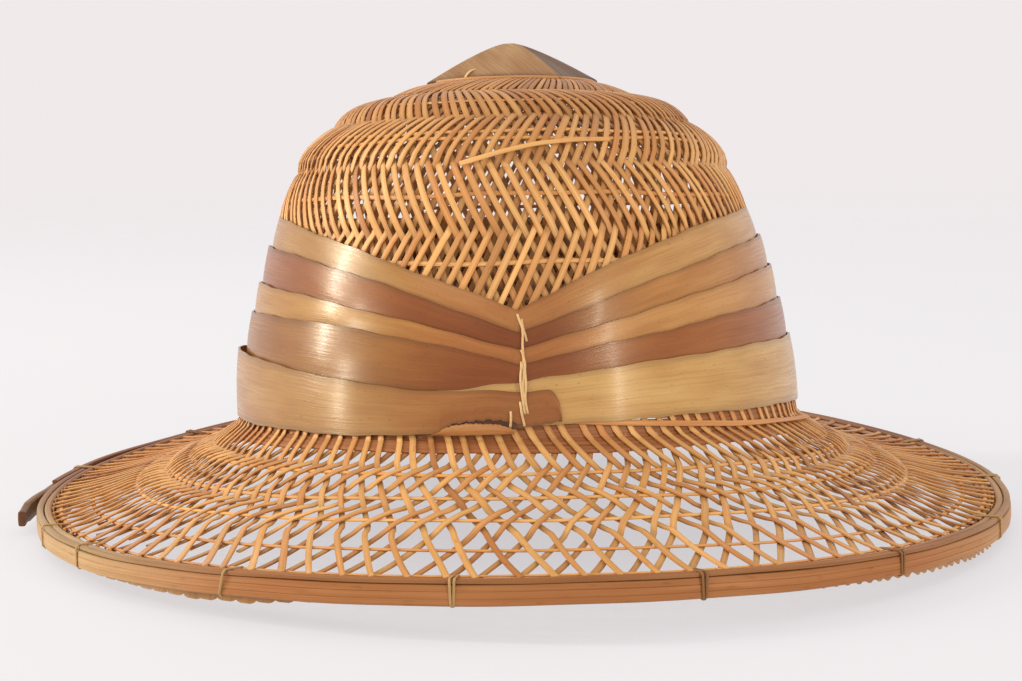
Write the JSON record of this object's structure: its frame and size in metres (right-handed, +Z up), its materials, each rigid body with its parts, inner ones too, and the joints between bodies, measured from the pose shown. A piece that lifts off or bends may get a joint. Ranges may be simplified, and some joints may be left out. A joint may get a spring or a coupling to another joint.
{
  "type": "pith helmet",
  "caption": "Open-woven cane sun helmet: domed net crown, flaring net brim bound to a cane hoop rim, pleated leaf hatband gathered at the front, folded leaf cap on top.",
  "frame": {"origin": "on the resting plane, under the middle of the hat's bounding box", "axes": "+Z up, -Y towards the front where the hatband is gathered, +X to the right as seen from the front"},
  "size_m": [0.3075, 0.3342, 0.1463],
  "materials": {
    "woven_cane": "split cane strands, satin",
    "band_leaf_light": "pale dried leaf, semi-gloss with lengthwise grain",
    "band_leaf_brown": "brown dried leaf, semi-gloss with lengthwise grain",
    "rim_cane": "weathered split cane, satin",
    "lashing": "thin pale cane splint",
    "cap_leaf": "grey-brown dried leaf, dull"
  },
  "bodies": {
    "root": {"woven_crown": "woven_cane", "woven_brim": "woven_cane", "band_strip_1": "band_leaf_light", "band_strip_2": "band_leaf_brown", "band_strip_3": "band_leaf_light", "band_strip_4": "band_leaf_brown", "band_strip_5": "band_leaf_light", "rim_hoop_outer": "rim_cane", "rim_hoop_middle": "rim_cane", "rim_hoop_inner": "rim_cane", "rim_tie_1": "lashing", "rim_tie_2": "lashing", "rim_tie_3": "lashing", "rim_tie_4": "lashing", "rim_tie_5": "lashing", "rim_tie_6": "lashing", "rim_tie_7": "lashing", "rim_tie_8": "lashing", "rim_tie_9": "lashing", "rim_tie_10": "lashing", "rim_tie_11": "lashing", "rim_tie_12": "lashing", "rim_tie_13": "lashing", "rim_tie_14": "lashing", "rim_tie_15": "lashing", "crown_cap": "cap_leaf"}
  },
  "joints": []
}
